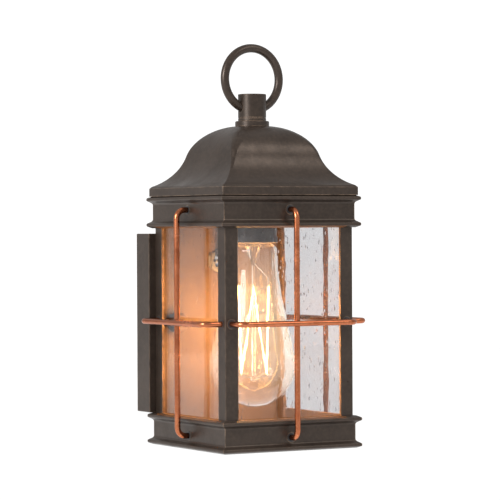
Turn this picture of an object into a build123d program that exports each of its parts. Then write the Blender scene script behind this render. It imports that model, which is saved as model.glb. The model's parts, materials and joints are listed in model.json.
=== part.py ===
from build123d import *
from math import cos, degrees, pi, radians, sin
import os

os.makedirs("parts", exist_ok=True)

# Outdoor wall lantern, in millimetres. Row origin: centre of the mounting bar on the wall plane (Y = 0).
# The lantern hangs on the -Y side of the wall with +Z up. Heights named *_H are above the lantern's foot.

# ---- Overall size ----
WIDTH = 133.35  # over the side guard rods
DEPTH = 136.65  # from the wall to the outside of the front guard rod
HEIGHT = 282.7  # from the foot to the top of the ring
CENTRE_Y = WIDTH / 2 - DEPTH  # the body's upright centre line
PLATE_H = 86.1  # height of the mounting bar's centre above the foot

# ---- Frame ----
POST_HALF = 50.8  # outer faces of the corner posts, from the centre line
POST_ARM = 10.0
POST_WALL = 1.5
BEAD_HALF = 55.4  # the moulding's beads
FRIEZE_HALF = 52.0  # the flat between the two beads
BAND_TALL = 22.5
UPPER_TOP_H = 175.9
LEDGE_H, LEDGE_WALL, LEDGE_HALF = 5.1, 1.5, 42.5
FLANGE_WALL, FLANGE_HALF = 2.0, 40.0
POST_FOOT_H = LEDGE_H + LEDGE_WALL
POST_TOP_H = UPPER_TOP_H - FLANGE_WALL

# ---- Roof ----
ROOF_WALL = 1.5
FASCIA_HALF = 54.0
FASCIA_TOP_H, LIP_HALF, LIP_H = 181.5, 52.6, 182.9
ROOF_TOP_H = 224.6
ROOF_INSIDE_H = ROOF_TOP_H - ROOF_WALL
COVE = (LIP_HALF, LIP_H), (40.56, 192.46), (35.2, 204.1)  # the ogee's hollow lower arc
DOME = (35.2, 204.1), (29.41, 215.65), (13.28, ROOF_TOP_H)  # and its full upper arc
HIP_R, HIP_TOP_R = 0.6, 10.5  # the hips are sharp below and round off towards the collar
ROOF_STEPS = 4  # level sections along each arc

# ---- Finial ----
COLLAR_TOP_H = 228.4
COLLAR_R = 12.0
STEM_TOP_H = 247.4
STEM_R = 9.9
STUD_R = 4.0
RING_WIRE_R = 3.0
RING_R = 21.8
RING_H = HEIGHT - RING_R - RING_WIRE_R
RING_END_X = 8.0  # the ring is open below: its two ends sit in sockets in the stem
RING_SOCKET_DEEP = 6.0
GROOVE_H, GROOVE_TALL, GROOVE_DEEP = COLLAR_TOP_H + 2.0, 0.5, 0.35
STUD_LENGTH = 15.0  # below the collar's top
WASHER_R, WASHER_WALL = 8.5, 1.2
FINIAL_NUT_HALF, FINIAL_NUT_TALL = 6.5, 6.0

# ---- Guard rods ----
ROD_R = 2.0
ROD_BEND = 6.0
LEVEL_ROD_REACH = WIDTH / 2 - ROD_R
UPRIGHT_ROD_REACH = LEVEL_ROD_REACH - 2 * ROD_R - 0.025
ROD_TOP_H, ROD_FOOT_H, ROD_LEVEL_H = 166.0, 9.4, 88.05
ROD_HOLE_AT = POST_HALF - 5.0  # the level rods' ends, from the centre line
ROD_HOLE_R = 3.2
ROD_END_REACH = POST_HALF - POST_WALL + 0.1
ROD_BUSHING_PROUD = 0.3

# ---- Glass ----
PANE_WALL = 2.4
PANE_FACE = POST_HALF - POST_WALL - 0.3  # outer face, from the centre line
PANE_HALF = PANE_FACE - PANE_WALL - 0.3
PANE_TOP_H = 165.0
CLIP_WALL, CLIP_WIDE, CLIP_FOOT_H, CLIP_OFFSET = 0.8, 8.0, 160.0, 25.0
CLIP_REACH = PANE_FACE - PANE_WALL - 0.1

# ---- Back panel and backplate ----
PANEL_WALL = 1.2
PANEL_BACK = POST_HALF - POST_WALL
PLATE_HALF_WIDE, PLATE_HALF_TALL = 56.0, 63.6
PLATE_WALL = 1.5
GASKET_WALL, GASKET_WIDE = 0.5, 6.0
STUD_SPACING = 69.85
WALL_STUD_R = 2.05
SPACER_R = 5.8
LOCK_NUT_HALF, LOCK_NUT_TALL = 4.2, 3.0
BOX_SCREW_SPACING = 88.9
SLOT_LENGTH, SLOT_R = 14.0, 2.4
BAR_WALL = 2.0
BAR_WIDE, BAR_TALL, BAR_ARM, BAR_CENTRE_HOLE_R = 94.0, 110.0, 20.0, 5.0
CAP_NUT_R, CAP_NUT_DEEP = 7.0, 9.0
BUSHING_H, BUSHING_R, BUSHING_BORE_R = 130.0, 6.0, 4.6
BUSHING_RIM_R, BUSHING_RIM_WALL, BUSHING_LENGTH = 8.2, 1.4, 6.5
EARTH_SCREW_X = 21.0  # to the left of centre, seen from the front
WALL_REACH = -CENTRE_Y  # from the centre line to the wall
PANEL_FRONT = PANEL_BACK - PANEL_WALL
CAP_NUT_REACH = PANEL_FRONT - CAP_NUT_DEEP
PAN_DEEP = WALL_REACH - GASKET_WALL - POST_HALF

# ---- Small screws ----
ROOF_SCREW_AT = 44.0
BRIDGE_SCREW_AT = 44.5
SCREW_R, SCREW_HEAD_R, SCREW_HEAD_TALL = 1.5, 3.0, 1.9

# ---- Lampholder ----
BRIDGE_WALL = 1.5
BRIDGE_LONG, BRIDGE_WIDE, BRIDGE_CORNER_R = 96.0, 18.0, 3.0
BRIDGE_H = POST_TOP_H - BRIDGE_WALL
SOCKET_FOOT_H = 142.7
SOCKET_R, SOCKET_BORE_R = 17.2, 14.4
SOCKET_RIM_TALL, SOCKET_RIM_PROUD, SOCKET_SHOULDER = 4.6, 0.8, 4.2
SOCKET_FLOOR_H = 168.4
SCREW_SHELL_R, SCREW_SHELL_WALL, SCREW_SHELL_FOOT_H = 13.5, 0.5, SOCKET_FOOT_H + 3
NIPPLE_R, NIPPLE_BORE_R, NIPPLE_LENGTH = 4.8, 3.5, 12.5
NIPPLE_NUT_HALF, NIPPLE_NUT_TALL = 7.5, 3.2

# ---- Lamp ----
LAMP_FOOT_H = 27.5  # the glass's lowest point
LAMP_TIP_H = 166.0
LAMP_R = 30.0
GLASS_WALL = 0.8
SEAM_H = 143.6
THREAD_PITCH = 3.629  # the screw cap's thread, seven turns to the inch
THREAD_R = 13.15
THREAD_FOOT_H = SEAM_H + 1.6
THREAD_TURNS = 4
CAP_TOP_H, CAP_BORE_R = LAMP_TIP_H - 5.0, 11.5
BUTTON_H = 47.0  # glass bead at the stem's lower end
CAGE_TOP_H, CAGE_TOP_R = 113.0, 12.0
CAGE_FOOT_H, CAGE_FOOT_R = 51.0, 17.5
CAGE_LOOPS = 6
FILAMENT_R = 0.3
HOOK_R, SUPPLY_WIRE_R = 0.25, 0.35
HOOK_HALF_WIDTH = 0.8  # the filament's bends over a hook
HOOK_DROP, HOOK_PAST = 0.5, 0.8  # each hook ends just past the wire it holds
PRESS_H, PRESS_R = 128.0, 1.8  # where the supply wires leave the stem

# ---- Wiring ----
LEAD_R = 1.1
LEAD_OFFSET = 1.5
LEAD_REACH = 38.5  # how far behind the centre line the leads run down
CONNECTOR_OFFSET, CONNECTOR_REACH, CONNECTOR_TOP_H = 7.0, 60.2, 110.0
EARTH_LEAD_R = 0.8
EARTH_TAG_WIDE, EARTH_TAG_TALL, EARTH_TAG_WALL = 9.0, 12.0, 0.8
EARTH_SCREW_TALL, EARTH_SCREW_GAP = 2.4, 2.2
CONNECTOR_TALL = 18.0
EARTH_TAG_X, EARTH_TAG_H = -30.0, 124.0

# ---- The three glazed sides, by the turn of their normal from the front ----
SIDES = {"left": -90, "front": 0, "right": 90}

# ---- Working planes through the lantern's centre line ----
FOOT = Vector(0, CENTRE_Y, -PLATE_H)
FRONT = Plane(origin=FOOT, x_dir=(1, 0, 0), z_dir=(0, -1, 0))
CENTRE = Axis(FOOT, (0, 0, 1))
SQUARE_REACH = 60.0  # past every side of the square bodies


def level(height):
    """Level plane on the centre line, at a height above the foot."""
    return Plane(FOOT + Vector(0, 0, height))


def facing(turn):
    """Upright plane through the centre line; its normal is -Y turned about +Z by turn degrees."""
    angle = radians(turn)
    return Plane(origin=FOOT, x_dir=(cos(angle), sin(angle), 0), z_dir=(sin(angle), -cos(angle), 0))


def wallward(reach, height=PLATE_H):
    """Plane parallel to the wall, reach behind the centre line, facing the wall."""
    return Plane(origin=FOOT + Vector(0, reach, height), x_dir=(-1, 0, 0), z_dir=(0, 1, 0))


def save(part, name):
    part.label = name
    export_step(part, f"parts/{name}.step")


def tube_along(points, bend, radius):
    """Round bar along straight runs, in lantern coordinates, joined by bends."""
    with BuildPart() as bar:
        with BuildLine() as route:
            FilletPolyline([FOOT + Vector(*p) for p in points], radius=bend)
        with BuildSketch(Plane(origin=route.wires()[0] @ 0, z_dir=route.wires()[0] % 0)):
            Circle(radius)
        sweep(path=route.wires()[0])
    return bar.part


def strand(points, radius):
    """Thin wire made of straight runs between points, in lantern coordinates, with rounded corners."""
    stops = [FOOT + Vector(*p) for p in points]
    with BuildPart() as wire:
        for start, end in zip(stops, stops[1:]):
            with BuildSketch(Plane(origin=start, z_dir=end - start)):
                Circle(radius)
            extrude(amount=(end - start).length)
        with Locations(*stops):
            Sphere(radius)
    return wire.part


def four_sided(side_profile):
    """Body of square plan: the profile of its +X side, mitred and repeated round the centre line."""
    with BuildPart() as one_side:
        extrude(side_profile, amount=2 * SQUARE_REACH)
        with BuildSketch(level(0)):
            with BuildLine():
                Polyline((0, 0), (SQUARE_REACH, -SQUARE_REACH), (SQUARE_REACH, SQUARE_REACH), close=True)
            make_face()
        extrude(amount=HEIGHT, mode=Mode.INTERSECT)
    with BuildPart() as body:
        for quarter in range(4):
            add(one_side.part.rotate(CENTRE, 90 * quarter))
    return body.part


def moved(arc, distance):
    """Three points of an arc, moved away from its centre, or towards it by a negative distance."""
    points = arc @ 0, arc @ 0.5, arc @ 1
    return [point + (point - arc.arc_center).normalized() * distance for point in points]


def square_loft(sections, ruled=False):
    """Body through level squares, each given by half its width, its height and its corner radius."""
    with BuildPart() as body:
        for half, height, corner in sections:
            with BuildSketch(level(height)):
                RectangleRounded(2 * half, 2 * half, corner)
        loft(ruled=ruled)
    return body.part


def roof_body(inset):
    """The ogee roof's outer form, or the hollow inside it when inset by the wall."""
    top_h = ROOF_TOP_H - inset
    cove = ThreePointArc(*moved(ThreePointArc(*COVE), inset))
    dome_points = moved(ThreePointArc(*DOME), -inset)
    dome = ThreePointArc(cove @ 1, dome_points[1], (dome_points[2].X, top_h))
    lip = cove @ 0
    eaves = FASCIA_HALF - inset, FASCIA_TOP_H - inset / 2, HIP_R

    def sections(arc):
        points = [arc @ (step / ROOF_STEPS) for step in range(ROOF_STEPS + 1)]
        rises = [(point.Y - lip.Y) / (top_h - lip.Y) for point in points]
        return [(p.X, p.Y, HIP_R + (HIP_TOP_R - HIP_R) * rise**2) for p, rise in zip(points, rises)]

    fascia = square_loft([(FASCIA_HALF - inset, UPPER_TOP_H + inset, HIP_R), eaves], ruled=True)
    drip = square_loft([eaves, (lip.X, lip.Y, HIP_R)], ruled=True)
    with BuildPart() as body:
        for piece in (fascia, drip, square_loft(sections(cove)), square_loft(sections(dome))):
            add(piece)
    return body.part


def band(low):
    """A moulded square frame at the foot (low) or under the roof, with its inner ledge or flange."""
    bead = [(BEAD_HALF, 1.2), (BEAD_HALF, 3.0), (FRIEZE_HALF, 5.0)]
    mirrored = [(x, BAND_TALL - z - 0.2) for x, z in reversed(bead)]
    outline = [(POST_HALF, 0), (BEAD_HALF - 2.8, 0), *bead]
    outline += [*mirrored, (BEAD_HALF - 3.0, BAND_TALL), (POST_HALF, BAND_TALL)]
    rounds = [0, 0.4, 1.0, 1.0, 2.2, 2.2, 1.0, 1.0, 0.4, 0]
    if low:
        outline += [
            (POST_HALF, POST_FOOT_H), (LEDGE_HALF, POST_FOOT_H), (LEDGE_HALF, LEDGE_H), (POST_HALF, LEDGE_H),
        ]
    else:
        outline = [(x, UPPER_TOP_H - z) for x, z in outline]
        outline += [(POST_HALF, POST_TOP_H), (FLANGE_HALF, POST_TOP_H), (FLANGE_HALF, UPPER_TOP_H)]
        outline.pop(0)
        rounds.pop(0)
    rounds += [0] * (len(outline) - len(rounds))
    with BuildSketch(FRONT.offset(-SQUARE_REACH)) as side_profile:
        with BuildLine():
            FilletPolyline(outline, radius=rounds, close=True)
        make_face()
    body = four_sided(side_profile.sketch)
    with BuildPart() as frame:
        add(body)
        for turn in SIDES.values():
            with BuildSketch(facing(turn).offset(POST_HALF - 1)):
                with Locations((0, ROD_FOOT_H if low else ROD_TOP_H)):
                    Circle(ROD_HOLE_R)
            extrude(amount=10, mode=Mode.SUBTRACT)
        if not low:
            with BuildSketch(level(POST_TOP_H)):
                with GridLocations(2 * ROOF_SCREW_AT, 2 * ROOF_SCREW_AT, 2, 2):
                    Circle(SCREW_R + 0.05)
                with GridLocations(2 * BRIDGE_SCREW_AT, 0, 2, 1):
                    Circle(SCREW_R + 0.05)
            extrude(amount=FLANGE_WALL, mode=Mode.SUBTRACT)
    return frame.part


# ================= Finial =================
ring_end = Vector(RING_END_X, 0, RING_H - (RING_R**2 - RING_END_X**2) ** 0.5)
with BuildPart() as finial_ring:
    with BuildLine() as loop:
        top, other_end = Vector(0, 0, RING_H + RING_R), Vector(-RING_END_X, 0, ring_end.Z)
        ThreePointArc(FOOT + ring_end, FOOT + top, FOOT + other_end)
    ring_ends = [Plane(origin=loop.line @ end, z_dir=(loop.line % end) * (1 - 2 * end)) for end in (0, 1)]
    with BuildSketch(ring_ends[0]):
        Circle(RING_WIRE_R)
    sweep(path=loop.line)
save(finial_ring.part, "finial_ring")

with BuildPart() as finial_stem:
    with BuildSketch(level(COLLAR_TOP_H)):
        Circle(STEM_R)
    extrude(amount=STEM_TOP_H - COLLAR_TOP_H)
    fillet(finial_stem.edges().group_by(Axis.Z)[-1], 0.6)
    with BuildSketch(level(GROOVE_H)):
        Circle(STEM_R + 1)
        Circle(STEM_R - GROOVE_DEEP, mode=Mode.SUBTRACT)
    extrude(amount=GROOVE_TALL, mode=Mode.SUBTRACT)
    with BuildSketch(level(COLLAR_TOP_H)):
        Circle(STUD_R)
    extrude(amount=-STUD_LENGTH)
    with BuildSketch(*ring_ends):
        Circle(RING_WIRE_R + 0.3)
    extrude(amount=RING_SOCKET_DEEP, mode=Mode.SUBTRACT)
save(finial_stem.part, "finial_stem")

with BuildPart() as finial_collar:
    with BuildSketch(level(ROOF_TOP_H)):
        Circle(COLLAR_R)
        Circle(STUD_R + 0.2, mode=Mode.SUBTRACT)
    extrude(amount=COLLAR_TOP_H - ROOF_TOP_H)
    rims = finial_collar.edges().filter_by(GeomType.CIRCLE).group_by(Axis.Z)[-1]
    fillet(rims.sort_by(SortBy.RADIUS)[-1:], 0.8)
save(finial_collar.part, "finial_collar")

with BuildPart() as finial_washer:
    with BuildSketch(level(ROOF_INSIDE_H)):
        Circle(WASHER_R)
        Circle(STUD_R + 0.25, mode=Mode.SUBTRACT)
    extrude(amount=-WASHER_WALL)
save(finial_washer.part, "finial_washer")

with BuildPart() as finial_nut:
    with BuildSketch(level(ROOF_INSIDE_H - WASHER_WALL)):
        RegularPolygon(FINIAL_NUT_HALF, 6, major_radius=False)
        Circle(STUD_R + 0.05, mode=Mode.SUBTRACT)
    extrude(amount=-FINIAL_NUT_TALL)
save(finial_nut.part, "finial_nut")

# ================= Roof =================
roof_outside = roof_body(0)
roof_inside = roof_body(ROOF_WALL)
with BuildPart() as roof_cap:
    add(roof_outside)
    add(roof_inside, mode=Mode.SUBTRACT)
    with BuildSketch(level(UPPER_TOP_H)):
        Rectangle(2 * FLANGE_HALF, 2 * FLANGE_HALF)
        with GridLocations(2 * ROOF_SCREW_AT, 2 * ROOF_SCREW_AT, 2, 2):
            Circle(SCREW_R + 0.05)
    extrude(amount=ROOF_WALL, mode=Mode.SUBTRACT)
    with BuildSketch(level(ROOF_TOP_H)):
        Circle(STUD_R + 0.2)
    extrude(amount=-ROOF_WALL, mode=Mode.SUBTRACT)
save(roof_cap.part, "roof_cap")

with BuildPart() as roof_screws:
    with BuildSketch(level(POST_TOP_H)):
        with GridLocations(2 * ROOF_SCREW_AT, 2 * ROOF_SCREW_AT, 2, 2):
            Circle(SCREW_HEAD_R)
    extrude(amount=-SCREW_HEAD_TALL)
    fillet(roof_screws.edges().group_by(Axis.Z)[0], 0.9)
    with BuildSketch(level(POST_TOP_H)):
        with GridLocations(2 * ROOF_SCREW_AT, 2 * ROOF_SCREW_AT, 2, 2):
            Circle(SCREW_R)
    extrude(amount=FLANGE_WALL + ROOF_WALL + 1.5)
save(roof_screws.part, "roof_screws")

# ================= Bands and posts =================
save(band(low=False), "upper_band")
save(band(low=True), "lower_band")

POSTS = {"front_left": (-1, -1), "front_right": (1, -1), "back_left": (-1, 1), "back_right": (1, 1)}
for place, (side, back) in POSTS.items():
    outer = side * POST_HALF, back * POST_HALF
    inner = outer[0] - side * POST_ARM, outer[1] - back * POST_ARM
    with BuildPart() as post:
        with BuildSketch(level(POST_FOOT_H)):
            with BuildLine():
                FilletPolyline(
                    (inner[0], outer[1]), outer, (outer[0], inner[1]),
                    (outer[0] - side * POST_WALL, inner[1]),
                    (outer[0] - side * POST_WALL, outer[1] - back * POST_WALL),
                    (inner[0], outer[1] - back * POST_WALL),
                    radius=[0, 0.6, 0, 0, 0, 0], close=True,
                )
            make_face()
        extrude(amount=POST_TOP_H - POST_FOOT_H)
        with BuildSketch(facing(side * 90).offset(POST_HALF - 4)):
            with Locations((side * back * ROD_HOLE_AT, ROD_LEVEL_H)):
                Circle(ROD_HOLE_R)
        extrude(amount=8, mode=Mode.SUBTRACT)
        if back < 0:
            with BuildSketch(FRONT.offset(POST_HALF - 4)):
                with Locations((side * ROD_HOLE_AT, ROD_LEVEL_H)):
                    Circle(ROD_HOLE_R)
            extrude(amount=8, mode=Mode.SUBTRACT)
    save(post.part, f"post_{place}")

# ================= Guard rods =================
for name, turn in SIDES.items():
    out = Vector(0, -1, 0).rotate(Axis.Z, turn)
    along = Vector(1, 0, 0).rotate(Axis.Z, turn)
    level_points = [
        along * end + out * reach + Vector(0, 0, ROD_LEVEL_H)
        for end, reach in (
            (-ROD_HOLE_AT, ROD_END_REACH), (-ROD_HOLE_AT, LEVEL_ROD_REACH),
            (ROD_HOLE_AT, LEVEL_ROD_REACH), (ROD_HOLE_AT, ROD_END_REACH),
        )
    ]
    upright_points = [
        out * reach + Vector(0, 0, height)
        for reach, height in (
            (ROD_END_REACH, ROD_FOOT_H), (UPRIGHT_ROD_REACH, ROD_FOOT_H),
            (UPRIGHT_ROD_REACH, ROD_TOP_H), (ROD_END_REACH, ROD_TOP_H),
        )
    ]
    save(tube_along(level_points, ROD_BEND, ROD_R), f"level_rod_{name}")
    save(tube_along(upright_points, ROD_BEND, ROD_R), f"upright_rod_{name}")

with BuildPart() as rod_bushings:
    for turn in SIDES.values():
        for inner, outer, places in (
            (POST_HALF, FRIEZE_HALF, [(0, ROD_FOOT_H), (0, ROD_TOP_H)]),
            (ROD_END_REACH, POST_HALF, [(end, ROD_LEVEL_H) for end in (-ROD_HOLE_AT, ROD_HOLE_AT)]),
        ):
            with BuildSketch(facing(turn).offset(inner)):
                with Locations(*places):
                    Circle(ROD_HOLE_R - 0.05)
                    Circle(ROD_R + 0.05, mode=Mode.SUBTRACT)
            extrude(amount=outer + ROD_BUSHING_PROUD - inner)
save(rod_bushings.part, "rod_bushings")

# ================= Glass =================
for name, turn in SIDES.items():
    reach = PANE_HALF if name == "front" else PANE_FACE - 0.2
    back_end = PANE_HALF if name == "front" else PANEL_FRONT - 0.3
    ends = (-back_end, reach) if name == "left" else (-reach, back_end)
    with BuildPart() as pane:
        with BuildSketch(facing(turn).offset(PANE_FACE)):
            with Locations(((ends[0] + ends[1]) / 2, POST_FOOT_H)):
                Rectangle(ends[1] - ends[0], PANE_TOP_H - POST_FOOT_H, align=(Align.CENTER, Align.MIN))
        extrude(amount=-PANE_WALL)
    save(pane.part, f"pane_{name}")

with BuildPart() as pane_clips:
    for turn in SIDES.values():
        for centre in (-CLIP_OFFSET, CLIP_OFFSET):
            with BuildSketch(facing(turn + 90).offset(centre - CLIP_WIDE / 2)):
                with BuildLine():
                    FilletPolyline(
                        (-CLIP_REACH - 3.5, POST_TOP_H), (-CLIP_REACH + CLIP_WALL, POST_TOP_H),
                        (-CLIP_REACH + CLIP_WALL, CLIP_FOOT_H), (-CLIP_REACH, CLIP_FOOT_H),
                        (-CLIP_REACH, POST_TOP_H - CLIP_WALL), (-CLIP_REACH - 3.5, POST_TOP_H - CLIP_WALL),
                        radius=[0, 0.7, 0, 0, 0, 0], close=True,
                    )
                make_face()
            extrude(amount=CLIP_WIDE)
save(pane_clips.part, "pane_clips")

# ================= Back panel and backplate =================
with BuildPart() as back_panel:
    with BuildSketch(wallward(PANEL_BACK, 0)):
        with Locations((0, POST_FOOT_H)):
            Rectangle(2 * PANEL_BACK - 0.8, POST_TOP_H - POST_FOOT_H - 1, align=(Align.CENTER, Align.MIN))
        with Locations((0, PLATE_H)):
            with GridLocations(STUD_SPACING, 0, 2, 1):
                Circle(WALL_STUD_R + 0.3, mode=Mode.SUBTRACT)
        with Locations((0, BUSHING_H)):
            Circle(BUSHING_R + 0.1, mode=Mode.SUBTRACT)
    extrude(amount=-PANEL_WALL)
save(back_panel.part, "back_panel")

with BuildPart() as backplate:
    with BuildSketch(wallward(POST_HALF)):
        RectangleRounded(2 * PLATE_HALF_WIDE, 2 * PLATE_HALF_TALL, 0.8)
    extrude(amount=PAN_DEEP)
    fillet(backplate.edges().group_by(Axis.Y)[0], 0.5)
    with BuildSketch(wallward(POST_HALF + PLATE_WALL)):
        RectangleRounded(2 * (PLATE_HALF_WIDE - PLATE_WALL), 2 * (PLATE_HALF_TALL - PLATE_WALL), 0.4)
    extrude(amount=PAN_DEEP, mode=Mode.SUBTRACT)
    with BuildSketch(wallward(POST_HALF)):
        with GridLocations(STUD_SPACING, 0, 2, 1):
            Circle(WALL_STUD_R + 0.3)
        with Locations((0, BUSHING_H - PLATE_H)):
            Circle(BUSHING_R + 0.1)
    extrude(amount=PLATE_WALL, mode=Mode.SUBTRACT)
save(backplate.part, "backplate")

with BuildPart() as wall_gasket:
    with BuildSketch(wallward(WALL_REACH - GASKET_WALL)):
        RectangleRounded(2 * PLATE_HALF_WIDE - 1, 2 * PLATE_HALF_TALL - 1, 1)
        Rectangle(
            2 * (PLATE_HALF_WIDE - GASKET_WIDE), 2 * (PLATE_HALF_TALL - GASKET_WIDE), mode=Mode.SUBTRACT
        )
    extrude(amount=GASKET_WALL)
save(wall_gasket.part, "wall_gasket")

with BuildPart() as mounting_bar:
    with BuildSketch(wallward(WALL_REACH - BAR_WALL)):
        RectangleRounded(BAR_WIDE, BAR_ARM, 4)
        RectangleRounded(BAR_ARM, BAR_TALL, 4)
        with GridLocations(STUD_SPACING, 0, 2, 1):
            Circle(WALL_STUD_R + 0.05, mode=Mode.SUBTRACT)
        with GridLocations(0, BOX_SCREW_SPACING, 1, 2):
            SlotOverall(SLOT_LENGTH, 2 * SLOT_R, rotation=90, mode=Mode.SUBTRACT)
        with Locations((EARTH_SCREW_X, 0)):
            Circle(SCREW_R + 0.05, mode=Mode.SUBTRACT)
        Circle(BAR_CENTRE_HOLE_R, mode=Mode.SUBTRACT)
    extrude(amount=BAR_WALL)
save(mounting_bar.part, "mounting_bar")

with BuildPart() as mounting_studs:
    with BuildSketch(wallward(CAP_NUT_REACH + 1.5)):
        with GridLocations(STUD_SPACING, 0, 2, 1):
            Circle(WALL_STUD_R)
    extrude(amount=WALL_REACH - CAP_NUT_REACH - 1.5)
    chamfer(mounting_studs.edges().group_by(Axis.Y)[0], 0.4)
save(mounting_studs.part, "mounting_studs")

with BuildPart() as stud_lock_nuts:
    with BuildSketch(wallward(WALL_REACH - BAR_WALL)):
        with GridLocations(STUD_SPACING, 0, 2, 1):
            RegularPolygon(LOCK_NUT_HALF, 6, major_radius=False)
            Circle(WALL_STUD_R + 0.05, mode=Mode.SUBTRACT)
    extrude(amount=-LOCK_NUT_TALL)
save(stud_lock_nuts.part, "stud_lock_nuts")

with BuildPart() as stud_spacers:
    with BuildSketch(wallward(PANEL_BACK)):
        with GridLocations(STUD_SPACING, 0, 2, 1):
            Circle(SPACER_R)
            Circle(WALL_STUD_R + 0.3, mode=Mode.SUBTRACT)
    extrude(amount=POST_WALL)
save(stud_spacers.part, "stud_spacers")

with BuildPart() as cap_nuts:
    with BuildSketch(wallward(PANEL_FRONT)):
        with GridLocations(STUD_SPACING, 0, 2, 1):
            Circle(CAP_NUT_R)
    extrude(amount=-CAP_NUT_DEEP)
    fillet(cap_nuts.edges().group_by(Axis.Y)[0], 2.5)
    with BuildSketch(wallward(PANEL_FRONT)):
        with GridLocations(STUD_SPACING, 0, 2, 1):
            Circle(WALL_STUD_R + 0.05)
    extrude(amount=1.0 - CAP_NUT_DEEP, mode=Mode.SUBTRACT)
save(cap_nuts.part, "cap_nuts")

with BuildPart() as wire_bushing:
    with BuildSketch(wallward(PANEL_FRONT - BUSHING_RIM_WALL, BUSHING_H)):
        Circle(BUSHING_RIM_R)
    extrude(amount=BUSHING_RIM_WALL)
    fillet(wire_bushing.edges().group_by(Axis.Y)[0], 0.8)
    with BuildSketch(wallward(PANEL_FRONT, BUSHING_H)):
        Circle(BUSHING_R)
    extrude(amount=BUSHING_LENGTH)
    with BuildSketch(wallward(PANEL_FRONT - BUSHING_RIM_WALL, BUSHING_H)):
        Circle(BUSHING_BORE_R)
    extrude(amount=BUSHING_RIM_WALL + BUSHING_LENGTH, mode=Mode.SUBTRACT)
save(wire_bushing.part, "wire_bushing")

with BuildPart() as earth_screw:
    with BuildSketch(wallward(WALL_REACH)):
        with Locations((EARTH_SCREW_X, 0)):
            Circle(SCREW_R)
    extrude(amount=-BAR_WALL - EARTH_SCREW_GAP)
    with BuildSketch(wallward(WALL_REACH - BAR_WALL - EARTH_SCREW_GAP)):
        with Locations((EARTH_SCREW_X, 0)):
            RegularPolygon(3.4, 6)
    extrude(amount=-EARTH_SCREW_TALL)
save(earth_screw.part, "earth_screw")

# ================= Lampholder =================
with BuildPart() as socket_bridge:
    with BuildSketch(level(BRIDGE_H)):
        RectangleRounded(BRIDGE_LONG, BRIDGE_WIDE, BRIDGE_CORNER_R)
        with GridLocations(2 * BRIDGE_SCREW_AT, 0, 2, 1):
            Circle(SCREW_R + 0.1, mode=Mode.SUBTRACT)
        Circle(NIPPLE_R + 0.1, mode=Mode.SUBTRACT)
    extrude(amount=BRIDGE_WALL)
save(socket_bridge.part, "socket_bridge")

with BuildPart() as bridge_screws:
    with BuildSketch(level(BRIDGE_H)):
        with GridLocations(2 * BRIDGE_SCREW_AT, 0, 2, 1):
            Circle(SCREW_HEAD_R)
    extrude(amount=-SCREW_HEAD_TALL)
    fillet(bridge_screws.edges().group_by(Axis.Z)[0], 0.9)
    with BuildSketch(level(BRIDGE_H)):
        with GridLocations(2 * BRIDGE_SCREW_AT, 0, 2, 1):
            Circle(SCREW_R)
    extrude(amount=BRIDGE_WALL + FLANGE_WALL - 0.2)
save(bridge_screws.part, "bridge_screws")

with BuildPart() as socket_body:
    with BuildSketch(level(SOCKET_FOOT_H)):
        Circle(SOCKET_R - SOCKET_RIM_PROUD)
    extrude(amount=BRIDGE_H - SOCKET_FOOT_H)
    chamfer(socket_body.edges().group_by(Axis.Z)[-1], SOCKET_SHOULDER)
    with BuildSketch(level(SOCKET_FOOT_H)):
        Circle(SOCKET_R)
    extrude(amount=SOCKET_RIM_TALL)
    fillet(socket_body.edges().group_by(Axis.Z)[0], 0.6)
    with BuildSketch(level(SOCKET_FOOT_H)):
        Circle(SOCKET_BORE_R)
    extrude(amount=SOCKET_FLOOR_H - SOCKET_FOOT_H, mode=Mode.SUBTRACT)
    with BuildSketch(level(SOCKET_FLOOR_H)):
        Circle(NIPPLE_R + 0.05)
    extrude(amount=BRIDGE_H - SOCKET_FLOOR_H, mode=Mode.SUBTRACT)
save(socket_body.part, "socket_body")

with BuildPart() as socket_screw_shell:
    outer = SCREW_SHELL_R + SCREW_SHELL_WALL
    with BuildSketch(level(SCREW_SHELL_FOOT_H)):
        Circle(outer)
        Circle(SCREW_SHELL_R, mode=Mode.SUBTRACT)
    extrude(amount=SOCKET_FLOOR_H - SCREW_SHELL_FOOT_H)
    with BuildSketch(level(SOCKET_FLOOR_H - SCREW_SHELL_WALL)):
        Circle(outer)
        Circle(10.5, mode=Mode.SUBTRACT)
    extrude(amount=SCREW_SHELL_WALL)
save(socket_screw_shell.part, "socket_screw_shell")

with BuildPart() as socket_contact:
    with BuildSketch(FRONT.offset(-3)):
        with BuildLine():
            FilletPolyline(
                (9.4, SOCKET_FLOOR_H), (9.4, SOCKET_FLOOR_H - 0.5), (5.6, SOCKET_FLOOR_H - 0.5),
                (3.2, LAMP_TIP_H + 0.05), (-3.4, LAMP_TIP_H + 0.05), (-3.4, LAMP_TIP_H + 0.55),
                (3.5, LAMP_TIP_H + 0.55), (5.3, SOCKET_FLOOR_H),
                radius=[0, 0, 0.8, 0.8, 0, 0, 0.4, 0.4], close=True,
            )
        make_face()
    extrude(amount=6)
save(socket_contact.part, "socket_contact")

with BuildPart() as socket_nipple:
    with BuildSketch(level(SOCKET_FLOOR_H)):
        Circle(NIPPLE_R)
        Circle(NIPPLE_BORE_R, mode=Mode.SUBTRACT)
    extrude(amount=NIPPLE_LENGTH)
save(socket_nipple.part, "socket_nipple")

with BuildPart() as nipple_nut:
    with BuildSketch(level(POST_TOP_H)):
        RegularPolygon(NIPPLE_NUT_HALF, 6, major_radius=False)
        Circle(NIPPLE_R + 0.05, mode=Mode.SUBTRACT)
    extrude(amount=NIPPLE_NUT_TALL)
save(nipple_nut.part, "nipple_nut")

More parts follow.
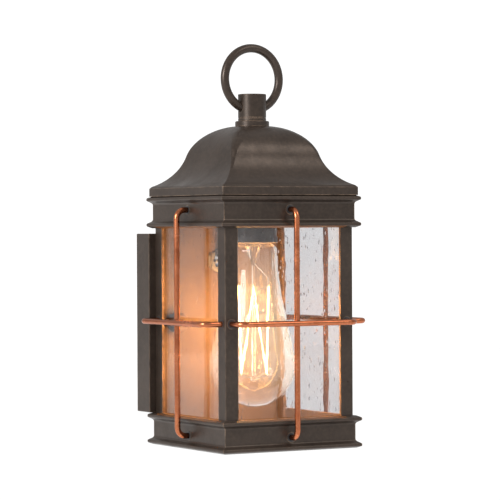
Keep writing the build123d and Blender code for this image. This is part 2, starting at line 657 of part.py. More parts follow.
# ================= Lamp =================
with BuildPart() as lamp_cap:
    crests = [(12.8, SEAM_H - 0.6), (12.8, THREAD_FOOT_H)]
    for turn in range(THREAD_TURNS):
        start = THREAD_FOOT_H + turn * THREAD_PITCH
        crests += [(THREAD_R - 0.8, start + THREAD_PITCH * 0.25), (THREAD_R, start + THREAD_PITCH * 0.75)]
    with BuildSketch(FRONT):
        with BuildLine():
            Polyline(
                (CAP_BORE_R, SEAM_H - 0.6), *crests, (THREAD_R - 1.1, CAP_TOP_H), (CAP_BORE_R, CAP_TOP_H),
                close=True,
            )
        make_face()
    revolve(axis=CENTRE)
save(lamp_cap.part, "lamp_cap")

with BuildPart() as lamp_insulator:
    with BuildSketch(FRONT):
        with BuildLine():
            Polyline(
                (0, CAP_TOP_H - 1), (11.4, CAP_TOP_H - 1), (11.4, CAP_TOP_H), (5.2, LAMP_TIP_H - 1),
                (0, LAMP_TIP_H - 1), close=True,
            )
        make_face()
    revolve(axis=CENTRE)
save(lamp_insulator.part, "lamp_insulator")

with BuildPart() as lamp_contact:
    with BuildSketch(FRONT):
        with BuildLine():
            Polyline(
                (0, LAMP_TIP_H - 1), (4.8, LAMP_TIP_H - 1), (4.5, LAMP_TIP_H - 0.5), (3.2, LAMP_TIP_H - 0.1),
                (1.4, LAMP_TIP_H), (0, LAMP_TIP_H), close=True,
            )
        make_face()
    revolve(axis=CENTRE)
save(lamp_contact.part, "lamp_contact")


def envelope(inset):
    """The lamp glass filled in: a round foot, a hollow flank and a short neck, inset by its wall."""
    globe_h, flank_angle = LAMP_FOOT_H + LAMP_R, radians(78)
    globe_r = LAMP_R - inset
    equator = (globe_r * sin(flank_angle), globe_h + globe_r * cos(flank_angle))
    with BuildPart() as form:
        with BuildSketch(FRONT):
            with BuildLine():
                globe = CenterArc((0, globe_h), globe_r, -90, 180 - degrees(flank_angle))
                flank = ThreePointArc(globe @ 1, (20.7 - inset, 101), (17.3 - inset, 124))
                shoulder = Line(flank @ 1, (16.7 - inset, 136.8))
                neck = ThreePointArc(shoulder @ 1, (15.0 - inset, 140.8), (11.3 - inset, 142.6))
                Polyline(neck @ 1, (11.3 - inset, 150), (0, 150), (0, LAMP_FOOT_H + inset))
            make_face()
        revolve(axis=CENTRE)
    return form.part


envelope_outside = envelope(0)
envelope_inside = envelope(GLASS_WALL)
with BuildPart() as lamp_glass:
    add(envelope_outside)
    add(envelope_inside, mode=Mode.SUBTRACT)
save(lamp_glass.part, "lamp_glass")

with BuildPart() as lamp_stem:
    with BuildSketch(FRONT):
        with BuildLine():
            Polyline(
                (0, 147), (10.3, 147), (9.4, 145.2), (5.4, 140.5), (3.7, 132.5), (2.6, 129.5), (1.4, 127),
                (1.3, BUTTON_H + 3), (2.6, BUTTON_H + 1.4), (2.6, BUTTON_H - 1), (0, BUTTON_H - 2),
                close=True,
            )
        make_face()
    revolve(axis=CENTRE)
save(lamp_stem.part, "lamp_stem")


def on_circle(radius, step, height):
    """A point of the filament cage, at a twelfth-turn step round the centre line."""
    angle = step * pi / CAGE_LOOPS
    return radius * cos(angle), radius * sin(angle), height


filament_points = []
for step in range(2 * CAGE_LOOPS - 1):
    radius, height = (CAGE_TOP_R, CAGE_TOP_H) if step % 2 == 0 else (CAGE_FOOT_R, CAGE_FOOT_H)
    half_step = HOOK_HALF_WIDTH / radius * CAGE_LOOPS / pi
    for bend in (step - half_step, step + half_step):
        filament_points.append(on_circle(radius, bend, height))
filament_points = filament_points[1:-1]
save(tube_along(filament_points, HOOK_HALF_WIDTH * 0.8, FILAMENT_R), "lamp_filament")

with BuildPart() as lamp_supports:
    for step in range(2 * CAGE_LOOPS - 1):
        if step % 2 == 0:
            anchor, radius, height = (0, 0, CAGE_TOP_H - 4), CAGE_TOP_R, CAGE_TOP_H - HOOK_DROP
        else:
            anchor, radius, height = (0, 0, BUTTON_H), CAGE_FOOT_R, CAGE_FOOT_H + HOOK_DROP
        tip = on_circle(radius + HOOK_PAST, step, height)
        add(strand([anchor, tip], HOOK_R))
    for x, y, height in (filament_points[0], filament_points[-1]):
        press = x * PRESS_R / CAGE_TOP_R, y * PRESS_R / CAGE_TOP_R, PRESS_H
        add(strand([press, (x, y, height + 5), (x, y, height)], SUPPLY_WIRE_R))
save(lamp_supports.part, "lamp_supports")

# ================= Wiring =================
for name, side in (("live", -1), ("neutral", 1)):
    x = side * LEAD_OFFSET
    route = [
        (x, 0, SOCKET_FLOOR_H + 1.5), (x, 0, 197), (x, LEAD_REACH, 190), (x, LEAD_REACH, BUSHING_H),
        (x, CONNECTOR_REACH, BUSHING_H), (side * CONNECTOR_OFFSET, CONNECTOR_REACH, CONNECTOR_TOP_H - 6),
    ]
    save(tube_along(route, [12, 12, 9, 9], LEAD_R), f"{name}_lead")

with BuildPart() as wire_connectors:
    with BuildSketch(FRONT.offset(-CONNECTOR_REACH)) as grip:
        with BuildLine():
            Polyline(
                (CONNECTOR_OFFSET + 3.0, CONNECTOR_TOP_H), (CONNECTOR_OFFSET + 5.5, CONNECTOR_TOP_H),
                (CONNECTOR_OFFSET + 5.5, CONNECTOR_TOP_H - 4),
                (CONNECTOR_OFFSET + 3.6, CONNECTOR_TOP_H - CONNECTOR_TALL),
                (CONNECTOR_OFFSET, CONNECTOR_TOP_H - CONNECTOR_TALL),
                (CONNECTOR_OFFSET, CONNECTOR_TOP_H - 12), (CONNECTOR_OFFSET + 2.4, CONNECTOR_TOP_H - 10),
                close=True,
            )
        make_face()
    revolve(axis=Axis(FOOT + Vector(CONNECTOR_OFFSET, CONNECTOR_REACH, 0), (0, 0, 1)))
    mirror(about=Plane.YZ)
save(wire_connectors.part, "wire_connectors")

with BuildPart() as earth_tag:
    with BuildSketch(wallward(POST_HALF + PLATE_WALL, EARTH_TAG_H)):
        with Locations((-EARTH_TAG_X, 0)):
            RectangleRounded(EARTH_TAG_WIDE, EARTH_TAG_TALL, 2)
    extrude(amount=EARTH_TAG_WALL)
save(earth_tag.part, "earth_tag")

screw_gap_reach = WALL_REACH - BAR_WALL - EARTH_SCREW_GAP / 2
earth_route = [
    (-EARTH_SCREW_X, screw_gap_reach, PLATE_H + SCREW_R + 0.1), (-EARTH_SCREW_X, screw_gap_reach, 101),
    (EARTH_TAG_X, CONNECTOR_REACH, 112), (EARTH_TAG_X, CONNECTOR_REACH, EARTH_TAG_H),
    (EARTH_TAG_X, POST_HALF + PLATE_WALL + EARTH_TAG_WALL, EARTH_TAG_H),
]
save(tube_along(earth_route, [6, 6, 5], EARTH_LEAD_R), "earth_lead")
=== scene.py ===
"""An outdoor wall lantern: CAD parts with materials, seeded panes, a coiled filament, light and camera."""

import json
import math
import random

import bmesh
import bpy
from mathutils import Matrix, Vector


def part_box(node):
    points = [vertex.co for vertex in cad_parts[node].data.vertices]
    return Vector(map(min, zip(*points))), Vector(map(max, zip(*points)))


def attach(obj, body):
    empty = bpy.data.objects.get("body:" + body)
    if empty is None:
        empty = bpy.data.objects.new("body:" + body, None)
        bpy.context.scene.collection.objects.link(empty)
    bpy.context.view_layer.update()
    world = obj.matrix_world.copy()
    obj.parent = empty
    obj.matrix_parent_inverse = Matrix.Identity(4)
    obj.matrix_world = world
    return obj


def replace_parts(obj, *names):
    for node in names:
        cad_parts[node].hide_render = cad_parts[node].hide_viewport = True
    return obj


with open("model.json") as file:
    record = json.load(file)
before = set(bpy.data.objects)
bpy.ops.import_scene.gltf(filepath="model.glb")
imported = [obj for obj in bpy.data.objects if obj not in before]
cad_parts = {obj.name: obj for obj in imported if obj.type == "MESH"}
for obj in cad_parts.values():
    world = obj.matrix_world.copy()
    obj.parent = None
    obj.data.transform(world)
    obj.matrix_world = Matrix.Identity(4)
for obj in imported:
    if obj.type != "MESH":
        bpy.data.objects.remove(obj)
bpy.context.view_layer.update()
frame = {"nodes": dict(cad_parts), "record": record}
nodes = frame["nodes"]
MM = 0.001
SIDES = ("front", "left", "right")

# The body's upright centre line and its foot, from the frame.
band_low, band_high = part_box("lower_band")
CENTRE = Vector(((band_low.x + band_high.x) / 2, (band_low.y + band_high.y) / 2, 0))
FOOT_Z = band_low.z


# ---- Node-tree helpers ----
NO_STRETCH = (1, 1, 1)
BEVEL_SAMPLES = 6
COLOUR_A, COLOUR_B, BLENDED = 6, 7, 2  # a Mix node's sockets when it blends colours


class Shader:
    """A material in the making: its Principled shader, and short calls for the nodes that feed it."""

    def __init__(self, name, roughness=0.5, metallic=0.0, **sockets):
        self.material = bpy.data.materials.new(name)
        self.material.use_nodes = True
        self.tree = self.material.node_tree
        self.surface = self.tree.nodes["Principled BSDF"]
        self.output = self.tree.nodes["Material Output"]
        self.place = self.node("TexCoord").outputs["Object"]
        self.set("Roughness", roughness)
        self.set("Metallic", metallic)
        for socket, value in sockets.items():
            self.set(socket.replace("_", " "), value)

    def node(self, kind, **settings):
        made = self.tree.nodes.new("ShaderNode" + kind)
        for name, value in settings.items():
            setattr(made, name, value)
        return made

    def feed(self, socket, value):
        """Links an output to a socket, or sets a plain value on it."""
        if isinstance(value, bpy.types.NodeSocket):
            self.tree.links.new(value, socket)
        elif hasattr(value, "__len__") and len(value) == 3 and socket.type == "RGBA":
            socket.default_value = (*value, 1.0)
        else:
            socket.default_value = value
        return self

    def set(self, socket, value):
        return self.feed(self.surface.inputs[socket], value)

    def scaled(self, stretch):
        mapping = self.node("Mapping")
        self.feed(mapping.inputs["Vector"], self.place)
        self.feed(mapping.inputs["Scale"], stretch)
        return mapping.outputs["Vector"]

    def noise(self, scale, detail=3.0, roughness=0.5, stretch=NO_STRETCH):
        made = self.node("TexNoise")
        self.feed(made.inputs["Vector"], self.scaled(stretch))
        for socket, value in (("Scale", scale), ("Detail", detail), ("Roughness", roughness)):
            self.feed(made.inputs[socket], value)
        return made.outputs["Fac"]

    def cells(self, scale, stretch=NO_STRETCH):
        """The colour of each cell, and the distance from its middle."""
        made = self.node("TexVoronoi")
        self.feed(made.inputs["Vector"], self.scaled(stretch))
        self.feed(made.inputs["Scale"], scale)
        return made.outputs["Color"], made.outputs["Distance"]

    def dots(self, scale, stretch, share, size):
        """1 in the middle of scattered dots, 0 between them; a share of the cells have one."""
        colour, distance = self.cells(scale, stretch)
        split = self.node("SeparateColor")
        self.feed(split.inputs[0], colour)
        chosen = self.maths("LESS_THAN", split.outputs[0], share)
        return self.maths("MULTIPLY", self.between(distance, 0.0, size, 1.0, 0.0), chosen)

    def between(self, value, low, high, out_low=0.0, out_high=1.0):
        """value from low..high, clamped and mapped to out_low..out_high."""
        made = self.node("MapRange")
        for socket, number in zip(made.inputs, (value, low, high, out_low, out_high)):
            self.feed(socket, number)
        return made.outputs["Result"]

    def maths(self, operation, a, b=0.0):
        made = self.node("Math", operation=operation)
        self.feed(made.inputs[0], a)
        self.feed(made.inputs[1], b)
        return made.outputs["Value"]

    def blend(self, share, a, b):
        made = self.node("Mix", data_type="RGBA")
        self.feed(made.inputs["Factor"], share)
        self.feed(made.inputs[COLOUR_A], a)
        self.feed(made.inputs[COLOUR_B], b)
        return made.outputs[BLENDED]

    def edges(self, radius):
        """0 on open faces, rising towards 1 at sharp edges within radius."""
        bevel = self.node("Bevel", samples=BEVEL_SAMPLES)
        self.feed(bevel.inputs["Radius"], radius)
        turn = self.node("VectorMath", operation="DOT_PRODUCT")
        self.feed(turn.inputs[0], bevel.outputs["Normal"])
        self.feed(turn.inputs[1], self.node("NewGeometry").outputs["Normal"])
        return self.maths("SUBTRACT", 1.0, turn.outputs["Value"])

    def along(self, axis, origin):
        """How far a point is past origin on an axis."""
        split = self.node("SeparateXYZ")
        self.feed(split.inputs[0], self.place)
        return self.maths("SUBTRACT", split.outputs[axis], origin)

    def offsets(self):
        """Distances across and deep from the upright centre line: the greater, then the smaller."""
        across = self.maths("ABSOLUTE", self.along("X", CENTRE.x))
        deep = self.maths("ABSOLUTE", self.along("Y", CENTRE.y))
        return self.maths("MAXIMUM", across, deep), self.maths("MINIMUM", across, deep)

    def relief(self, height, depth, strength=1.0):
        made = self.node("Bump")
        self.feed(made.inputs["Height"], height)
        self.feed(made.inputs["Distance"], depth)
        self.feed(made.inputs["Strength"], strength)
        self.set("Normal", made.outputs["Normal"])
        return self


# ---- Materials: colours are linear, scales are per metre ----
BRONZE_DARK, BRONZE_PALE = (0.031, 0.0215, 0.016), (0.051, 0.0365, 0.028)
# The last bronze colour is laid along the edges: partly wear, partly a painted highlight.
BRONZE_FLECK, BRONZE_WEAR_AND_HIGHLIGHT = (0.085, 0.059, 0.044), (0.29, 0.20, 0.14)
WEAR_AND_HIGHLIGHT_WIDTH, WEAR_AND_HIGHLIGHT_SHARE = 1.1 * MM, 0.85
COPPER_DARK, COPPER_PALE = (0.35, 0.095, 0.038), (0.58, 0.190, 0.085)
# The second colour here is a painted shade, laid where the upright rods enter the body.
COPPER_FLECK, COPPER_PAINTED_SHADE = (0.78, 0.36, 0.21), (0.055, 0.032, 0.024)
PAINTED_SHADE_FROM, PAINTED_SHADE_TO, PAINTED_SHADE_SHARE = 53 * MM, 57.5 * MM, 0.85  # distances from the centre line
UPRIGHT_ROD_ZONE = 10 * MM  # the upright rods stand within this of their side's middle
GLASS_INDEX = 1.45
PANE_TINT, PANE_SHADE = (0.79, 0.797, 0.812), (0.93, 0.92, 0.92)
SPECK_SHARE, SPECK_SIZE = 0.2, 0.24  # of the cells, of a cell
LAMP_TINT, LAMP_SHADE = (1.0, 0.97, 0.93), (0.99, 0.97, 0.94)
# A painted glow on the lamp's glass: its colours and strength, and the heights where it rises and falls.
PAINTED_GLOW_FAINT, PAINTED_GLOW_STRONG, PAINTED_GLOW_STRENGTH = (0.28, 0.21, 0.15), (1.0, 0.88, 0.62), 0.13
PAINTED_GLOW_RISES, PAINTED_GLOW_FALLS = (36 * MM, 66 * MM), (92 * MM, 136 * MM)  # heights above the foot
GLOW, GLOW_STRENGTH = (1.0, 0.72, 0.28), 10.0


def bronze():
    """Dark bronze paint with an oiled, worn finish: mottled, satin, paler along its edges, partly as wear and
    partly as a painted highlight.
    """
    s = Shader("bronze_paint", metallic=0.45, Specular_IOR_Level=0.45)
    cloud = s.noise(34, detail=5, roughness=0.6)
    fine = s.noise(420, detail=4, roughness=0.6)
    paint = s.blend(s.between(cloud, 0.3, 0.7), BRONZE_DARK, BRONZE_PALE)
    paint = s.blend(s.between(fine, 0.42, 0.72, 0.0, 0.35), paint, BRONZE_FLECK)
    patchy = s.between(s.noise(160, detail=4), 0.35, 0.6)
    # Paler edges: partly wear, partly a painted highlight along edges and bead tops.
    wear_and_highlight = s.maths("MULTIPLY", s.between(s.edges(WEAR_AND_HIGHLIGHT_WIDTH), 0.012, 0.10), patchy)
    s.set("Base Color", s.blend(s.maths("MULTIPLY", wear_and_highlight, WEAR_AND_HIGHLIGHT_SHARE), paint, BRONZE_WEAR_AND_HIGHLIGHT))
    s.set("Roughness", s.between(s.noise(90, detail=4), 0.25, 0.75, 0.27, 0.43))
    s.relief(s.noise(900, detail=2), 0.05 * MM, 0.35)
    return s.material


def copper():
    """Drawn copper rod: satin, with handling marks, and a painted shade where the upright rods enter the
    body.
    """
    s = Shader("copper", metallic=1.0)
    marks = s.noise(70, detail=5, roughness=0.65)
    fine = s.noise(800, detail=2, roughness=0.6)
    metal = s.blend(s.between(marks, 0.3, 0.7), COPPER_DARK, COPPER_PALE)
    metal = s.blend(s.between(fine, 0.45, 0.75, 0.0, 0.4), metal, COPPER_FLECK)
    # Painted shade: the upright rods are darkened near where they go into the body.
    greater, smaller = s.offsets()
    near_body = s.between(greater, PAINTED_SHADE_FROM, PAINTED_SHADE_TO, PAINTED_SHADE_SHARE, 0.0)
    painted_shade = s.maths("MULTIPLY", near_body, s.maths("LESS_THAN", smaller, UPRIGHT_ROD_ZONE))
    s.set("Base Color", s.blend(painted_shade, metal, COPPER_PAINTED_SHADE))
    s.set("Roughness", s.between(marks, 0.3, 0.7, 0.18, 0.31))
    s.relief(fine, 0.03 * MM, 0.3)
    return s.material


def plated(name, low, high, roughness):
    """Zinc, nickel or other bare metal with faint spangle, in tones from low to high."""
    s = Shader(name, metallic=1.0)
    s.set("Base Color", s.blend(s.between(s.noise(240), 0.35, 0.65), low, high))
    spangle, _ = s.cells(260)
    s.set("Roughness", s.between(spangle, 0.0, 1.0, roughness, roughness + 0.14))
    s.relief(s.noise(1200, detail=2), 0.02 * MM, 0.3)
    return s.material


def plastic(name, low, high, roughness, grain=600):
    """Moulded, glassy or rubbery matter with a little grain, in tones from low to high."""
    s = Shader(name)
    s.set("Base Color", s.blend(s.between(s.noise(110, detail=4), 0.35, 0.65), low, high))
    s.set("Roughness", s.between(s.noise(300), 0.3, 0.7, roughness - 0.06, roughness + 0.08))
    s.relief(s.noise(grain), 0.06 * MM, 0.4)
    return s.material


def let_lamps_through(s, shade):
    """Lets light from lamps straight through glass, tinted by shade, as real thin glass nearly does."""
    clear = s.node("BsdfTransparent")
    s.feed(clear.inputs["Color"], shade)
    mix = s.node("MixShader")
    s.feed(mix.inputs[0], s.node("LightPath").outputs["Is Shadow Ray"])
    s.feed(mix.inputs[1], s.surface.outputs["BSDF"])
    s.feed(mix.inputs[2], clear.outputs["BSDF"])
    s.feed(s.output.inputs["Surface"], mix.outputs["Shader"])
    return s.material


def clear_glass(name, tint):
    return Shader(name, roughness=0.0, Transmission_Weight=1.0, IOR=GLASS_INDEX, Base_Color=tint)


def seeded_glass():
    """Drawn glass: long upright waves, and fine raised specks."""
    s = clear_glass("seeded_glass", PANE_TINT)
    waves = s.noise(150, stretch=(1, 1, 0.13))
    specks = s.dots(520, (1, 1, 0.32), SPECK_SHARE, SPECK_SIZE)
    s.relief(s.maths("ADD", waves, specks), 0.10 * MM)
    return let_lamps_through(s, PANE_SHADE)


def lamp_glass():
    """The lamp's glass, with a painted glow of its light, most at the filament's height."""
    s = clear_glass("lamp_glass", LAMP_TINT)
    s.relief(s.noise(60, stretch=(1, 1, 0.5)), 0.05 * MM)
    up = s.along("Z", FOOT_Z)
    painted_glow = s.maths("MULTIPLY", s.between(up, *PAINTED_GLOW_RISES), s.between(up, *PAINTED_GLOW_FALLS, 1.0, 0.0))
    s.set("Emission Color", s.blend(painted_glow, PAINTED_GLOW_FAINT, PAINTED_GLOW_STRONG))
    s.set("Emission Strength", PAINTED_GLOW_STRENGTH)
    return let_lamps_through(s, LAMP_SHADE)


def glowing_wire():
    s = Shader("filament_glow", Emission_Color=GLOW, Emission_Strength=GLOW_STRENGTH)
    s.set("Base Color", s.blend(s.noise(700, detail=2), (0.9, 0.6, 0.3), (1.0, 0.75, 0.45)))
    return s.material


# Darker and paler tone, and roughness; plastics may also have the scale of their grain.
PLATED = {
    "zinc_steel": ((0.50, 0.50, 0.49), (0.66, 0.66, 0.64), 0.30),
    "bare_copper": ((0.70, 0.28, 0.13), (0.86, 0.42, 0.24), 0.28),
    "contact_brass": ((0.68, 0.48, 0.20), (0.83, 0.64, 0.34), 0.25),
    "solder": ((0.55, 0.55, 0.56), (0.72, 0.72, 0.72), 0.35),
    "support_wire": ((0.45, 0.40, 0.34), (0.62, 0.56, 0.48), 0.30),
}
PLASTICS = {
    "gasket_rubber": ((0.018, 0.018, 0.018), (0.032, 0.032, 0.031), 0.82, 1500),
    "fibre": ((0.22, 0.08, 0.045), (0.32, 0.14, 0.08), 0.70),
    "black_plastic": ((0.022, 0.022, 0.023), (0.035, 0.035, 0.036), 0.42),
    "green_screw": ((0.02, 0.17, 0.05), (0.04, 0.26, 0.09), 0.35),
    "lead_black": ((0.016, 0.016, 0.016), (0.03, 0.03, 0.03), 0.45, 1800),
    "lead_white": ((0.70, 0.69, 0.64), (0.80, 0.79, 0.75), 0.45, 1800),
    "connector_plastic": ((0.68, 0.20, 0.03), (0.80, 0.28, 0.05), 0.40),
    "holder_body": ((0.085, 0.078, 0.074), (0.130, 0.120, 0.114), 0.38),
    "black_glass": ((0.010, 0.010, 0.012), (0.02, 0.02, 0.022), 0.15),
}
materials = {
    "bronze_paint": bronze(),
    "copper": copper(),
    "seeded_glass": seeded_glass(),
    "lamp_glass": lamp_glass(),
    "filament_glow": glowing_wire(),
}
materials.update((name, plated(name, *looks)) for name, looks in PLATED.items())
materials.update((name, plastic(name, *looks)) for name, looks in PLASTICS.items())

for subpart in frame["record"]["subparts"]:
    node = nodes[subpart["node"]]
    node.data.materials.clear()
    node.data.materials.append(materials[subpart["material_slot"]])


def as_piece(name, mesh, body, slot):
    piece = bpy.data.objects.new(name, mesh)
    bpy.context.scene.collection.objects.link(piece)
    mesh.materials.append(materials[slot])
    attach(piece, body)
    return piece


# ---- Seeded panes: drawn glass with faint waves and long bubbles shut in it ----
PANE_STEP = 2.5 * MM
SHARP_ANGLE = 40  # degrees
WAVE = 0.09 * MM
# Radians per metre: the waves across the draw, the finer ones, how those drift, and the waves along the draw.
BROAD, FINE, DRIFT, SLOW = 430, 910, 38, 95
SEED_COUNT = 180
# Half the bubbles' lengths and widths. The root of a length's share is drawn, so short ones are common.
SEED_LONGEST, SEED_SHORTEST_ROOT = 2.0 * MM, 0.4
SEED_GIRTHS = 0.17 * MM, 0.34 * MM
END_MARGIN, SIDE_MARGIN, FACE_MARGIN = 3 * MM, 2 * MM, 0.6 * MM


def wave(across, height, phase):
    """How far a pane's face dips, from about 0 to WAVE."""
    drift = 3 * math.sin(height * DRIFT)
    sideways = math.sin(across * BROAD + phase) + 0.6 * math.sin(across * FINE + 2.1 * phase + drift)
    upwards = math.sin(height * SLOW + 4 * phase)
    return WAVE * (0.5 + 0.25 * sideways + 0.18 * upwards) / 1.1


def seed_mesh(bm, centre, half_sizes):
    """One bubble: an ellipsoid whose faces look inwards, so that it is a hollow in the glass."""
    made = bmesh.ops.create_icosphere(bm, subdivisions=2, radius=1.0)
    for vert in made["verts"]:
        vert.co = centre + Vector(c * h for c, h in zip(vert.co, half_sizes))
    faces = {face for vert in made["verts"] for face in vert.link_faces}
    bmesh.ops.reverse_faces(bm, faces=list(faces))


def seeded_pane(side, draw):
    low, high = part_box(f"pane_{side}")
    thin = 1 if side == "front" else 0
    wide = 1 - thin
    columns = round((high[wide] - low[wide]) / PANE_STEP)
    rows = round((high.z - low.z) / PANE_STEP)
    bm = bmesh.new()

    def corner(column, row, face):
        at = Vector((0, 0, low.z + (high.z - low.z) * row / rows))
        at[wide] = low[wide] + (high[wide] - low[wide]) * column / columns
        dip = wave(at[wide], at.z, 1.7 * face + SIDES.index(side))
        at[thin] = high[thin] - dip if face else low[thin] + dip
        return bm.verts.new(at)

    def corners(face):
        return [[corner(column, row, face) for row in range(rows + 1)] for column in range(columns + 1)]

    near, far = corners(0), corners(1)
    for grid in (near, far):
        for c in range(columns):
            for r in range(rows):
                bm.faces.new((grid[c][r], grid[c + 1][r], grid[c + 1][r + 1], grid[c][r + 1]))
    for r in range(rows):
        for c in (0, columns):
            bm.faces.new((near[c][r], near[c][r + 1], far[c][r + 1], far[c][r]))
    for c in range(columns):
        for r in (0, rows):
            bm.faces.new((near[c][r], near[c + 1][r], far[c + 1][r], far[c][r]))
    bmesh.ops.recalc_face_normals(bm, faces=bm.faces)
    for number in range(SEED_COUNT):
        length = draw.uniform(SEED_SHORTEST_ROOT, 1.0) ** 2 * SEED_LONGEST
        girth = draw.uniform(*SEED_GIRTHS)
        # Every other bubble tends to the top.
        share = draw.uniform(0, 1) if number % 2 else draw.uniform(0, 1) ** 0.5
        centre = Vector((0, 0, low.z + END_MARGIN + (high.z - low.z - 2 * END_MARGIN) * share))
        centre[wide] = draw.uniform(low[wide] + SIDE_MARGIN, high[wide] - SIDE_MARGIN)
        centre[thin] = draw.uniform(low[thin] + FACE_MARGIN, high[thin] - FACE_MARGIN)
        seed_mesh(bm, centre, (girth, girth, length))
    mesh = bpy.data.meshes.new(f"seeded_pane_{side}")
    bm.to_mesh(mesh)
    bm.free()
    mesh.shade_smooth()
    mesh.set_sharp_from_angle(angle=math.radians(SHARP_ANGLE))
    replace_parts(as_piece(mesh.name, mesh, "lantern", "seeded_glass"), f"pane_{side}")


for side in SIDES:
    seeded_pane(side, random.Random(side))

# ---- Coiled filament, strung in a zigzag over the lamp's hooks ----
CAGE_TOP, CAGE_FOOT = (12.0 * MM, 113.0 * MM), (17.5 * MM, 51.0 * MM)  # radius, height above the foot
CAGE_LOOPS = 6
COIL_R, COIL_WIRE_R, COIL_PITCH = 0.5 * MM, 0.13 * MM, 1.0 * MM
COIL_END, COIL_WIDENS = 0.35, 3  # share of COIL_R at a hook, turns in which it would widen by one COIL_R
COIL_STEPS, WIRE_SIDES = 10, 5  # points round a turn of the coil and round its wire
ASKEW = Vector((0.3, 0.2, 1))  # the wire never runs this way


def cage_corner(step):
    radius, height = CAGE_FOOT if step % 2 else CAGE_TOP
    angle = step * math.pi / CAGE_LOOPS
    return CENTRE + Vector((radius * math.cos(angle), radius * math.sin(angle), FOOT_Z + height))


def coil_points():
    points = []
    for step in range(2 * CAGE_LOOPS - 2):
        start, end = cage_corner(step), cage_corner(step + 1)
        along = (end - start).normalized()
        side = along.cross(Vector((0, 0, 1))).normalized()
        other = along.cross(side)
        count = round((end - start).length / COIL_PITCH * COIL_STEPS)
        for number in range(count):
            turns = number / COIL_STEPS
            turns_from_hook = min(number, count - number) / COIL_STEPS
            radius = COIL_R * min(1.0, COIL_END + turns_from_hook / COIL_WIDENS)
            outward = side * math.cos(math.tau * turns) + other * math.sin(math.tau * turns)
            points.append(start.lerp(end, number / count) + outward * radius)
    return points


def wire_mesh(name, points, radius):
    """Round wire through points."""
    bm = bmesh.new()
    turns = [math.tau * n / WIRE_SIDES for n in range(WIRE_SIDES)]
    rings = []
    for number, point in enumerate(points):
        along = (points[min(number + 1, len(points) - 1)] - points[max(number - 1, 0)]).normalized()
        side = along.cross(ASKEW).normalized()
        other = along.cross(side)
        outward = [side * math.cos(turn) + other * math.sin(turn) for turn in turns]
        rings.append([bm.verts.new(point + direction * radius) for direction in outward])
    for ring, following in zip(rings, rings[1:]):
        for n in range(WIRE_SIDES):
            after = (n + 1) % WIRE_SIDES
            bm.faces.new((ring[n], ring[after], following[after], following[n]))
    bm.faces.new(rings[0])
    bm.faces.new(rings[-1])
    bmesh.ops.recalc_face_normals(bm, faces=bm.faces)
    mesh = bpy.data.meshes.new(name)
    bm.to_mesh(mesh)
    bm.free()
    mesh.shade_smooth()
    return mesh


coil_mesh = wire_mesh("coiled_filament", coil_points(), COIL_WIRE_R)
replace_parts(as_piece("coiled_filament", coil_mesh, "lamp", "filament_glow"), "lamp_filament")

# ---- Lamp light, seen only by what it lights ----
LAMP_LIGHT, LAMP_LIGHT_POWER, LAMP_LIGHT_R = (1.0, 0.49, 0.15), 2.4, 6 * MM
filament_low, filament_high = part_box("lamp_filament")


def lamp_light(name, share):
    """A soft warm light at a share of the filament's height."""
    light = bpy.data.lights.new(name, "POINT")
    light.energy, light.color, light.shadow_soft_size = LAMP_LIGHT_POWER, LAMP_LIGHT, LAMP_LIGHT_R
    holder = bpy.data.objects.new(name, light)
    bpy.context.scene.collection.objects.link(holder)
    holder.location = (filament_low + filament_high) / 2
    holder.location.z = filament_low.z + (filament_high.z - filament_low.z) * share
    holder.visible_camera = holder.visible_glossy = holder.visible_transmission = False
    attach(holder, "lamp")


for number, share in enumerate((0.1, 0.5, 0.85)):
    lamp_light(f"glow_{number}", share)


# ---- Studio ----
WHITE_SEEN, WHITE_REFLECTED = 1.12, 0.56  # the world's strength, and its strength in reflections
FLOOR_HALF, FLOOR_DROP = 30.0, 1.6  # metres
FLOOR_LOW, FLOOR_HIGH = (0.965, 0.965, 0.965), (0.985, 0.985, 0.985)
LIT_HEIGHT = 120 * MM  # the soft lights aim here, above the foot
CAMERA_AZIMUTH, CAMERA_DIP, CAMERA_ROLL = -29.78, 0.451, -0.28  # degrees
CAMERA_DISTANCE, EYE_HEIGHT, CAMERA_LEFT = 1.8, 152.0 * MM, 1.95 * MM
LENS, SENSOR, CLIP_END = 184.15, 36, 200


def white_world():
    """Plain white all round, dimmer where a surface reflects it."""
    world = bpy.data.worlds.new("studio")
    bpy.context.scene.world = world
    world.use_nodes = True
    tree = world.node_tree
    seen, mirrored = tree.nodes["Background"], tree.nodes.new("ShaderNodeBackground")
    for background, strength in ((seen, WHITE_SEEN), (mirrored, WHITE_REFLECTED)):
        background.inputs["Color"].default_value = (1, 1, 1, 1)
        background.inputs["Strength"].default_value = strength
    path, mix = tree.nodes.new("ShaderNodeLightPath"), tree.nodes.new("ShaderNodeMixShader")
    # Refracted rays count as glossy too, so they are taken out.
    reflected = tree.nodes.new("ShaderNodeMath")
    reflected.operation, reflected.use_clamp = "SUBTRACT", True
    tree.links.new(path.outputs["Is Glossy Ray"], reflected.inputs[0])
    tree.links.new(path.outputs["Is Transmission Ray"], reflected.inputs[1])
    tree.links.new(reflected.outputs[0], mix.inputs[0])
    tree.links.new(seen.outputs[0], mix.inputs[1])
    tree.links.new(mirrored.outputs[0], mix.inputs[2])
    tree.links.new(mix.outputs[0], tree.nodes["World Output"].inputs["Surface"])
    bpy.context.scene.view_settings.view_transform = "Standard"


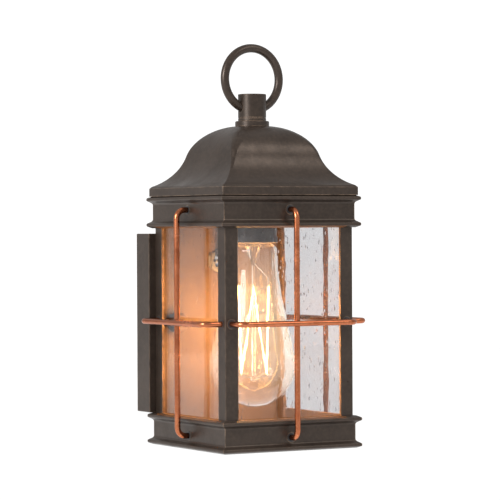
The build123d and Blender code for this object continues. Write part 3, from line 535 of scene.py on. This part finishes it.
def pale_floor():
    signs = (-1, -1), (1, -1), (1, 1), (-1, 1)
    corners = [(x * FLOOR_HALF, y * FLOOR_HALF, FOOT_Z - FLOOR_DROP) for x, y in signs]
    mesh = bpy.data.meshes.new("floor")
    mesh.from_pydata(corners, [], [(0, 1, 2, 3)])
    floor = bpy.data.objects.new("floor", mesh)
    bpy.context.scene.collection.objects.link(floor)
    pale = Shader("pale_floor", roughness=0.9)
    pale.set("Base Color", pale.blend(pale.noise(3, detail=2), FLOOR_LOW, FLOOR_HIGH))
    mesh.materials.append(pale.material)


def soft_light(name, azimuth, elevation, distance, size, power, colour):
    """A round soft light; azimuth and elevation are degrees, azimuth to the right of the front."""
    light = bpy.data.lights.new(name, "AREA")
    light.shape, light.size, light.energy, light.color = "DISK", size, power, colour
    holder = bpy.data.objects.new(name, light)
    bpy.context.scene.collection.objects.link(holder)
    a, e = math.radians(azimuth), math.radians(elevation)
    aim = CENTRE + Vector((0, 0, FOOT_Z + LIT_HEIGHT))
    towards = Vector((math.sin(a) * math.cos(e), -math.cos(a) * math.cos(e), math.sin(e)))
    holder.location = aim + towards * distance
    holder.rotation_euler = towards.to_track_quat("Z", "Y").to_euler()


def camera():
    """A long lens to the left of the front, its eye above the body's middle."""
    azimuth = math.radians(CAMERA_AZIMUTH)
    back = Vector((math.sin(azimuth), -math.cos(azimuth), 0))
    right = Vector((math.cos(azimuth), math.sin(azimuth), 0))
    eye = CENTRE + back * CAMERA_DISTANCE + Vector((0, 0, FOOT_Z + EYE_HEIGHT))
    drop = CAMERA_DISTANCE * math.tan(math.radians(CAMERA_DIP))
    aim = CENTRE - right * CAMERA_LEFT + Vector((0, 0, FOOT_Z + EYE_HEIGHT - drop))
    turn = (eye - aim).to_track_quat("Z", "Y").to_matrix().to_4x4()
    lens = bpy.data.cameras.new("camera")
    lens.lens, lens.sensor_width, lens.clip_end = LENS, SENSOR, CLIP_END
    holder = bpy.data.objects.new("camera", lens)
    bpy.context.scene.collection.objects.link(holder)
    holder.matrix_world = Matrix.Translation(eye) @ turn @ Matrix.Rotation(math.radians(CAMERA_ROLL), 4, "Z")
    bpy.context.scene.camera = holder


white_world()
pale_floor()
soft_light("key", azimuth=-78, elevation=20, distance=1.6, size=0.7, power=21.0, colour=(1.0, 0.97, 0.94))
soft_light("fill", azimuth=30, elevation=42, distance=1.4, size=0.6, power=4.0, colour=(1.0, 0.92, 0.84))
camera()
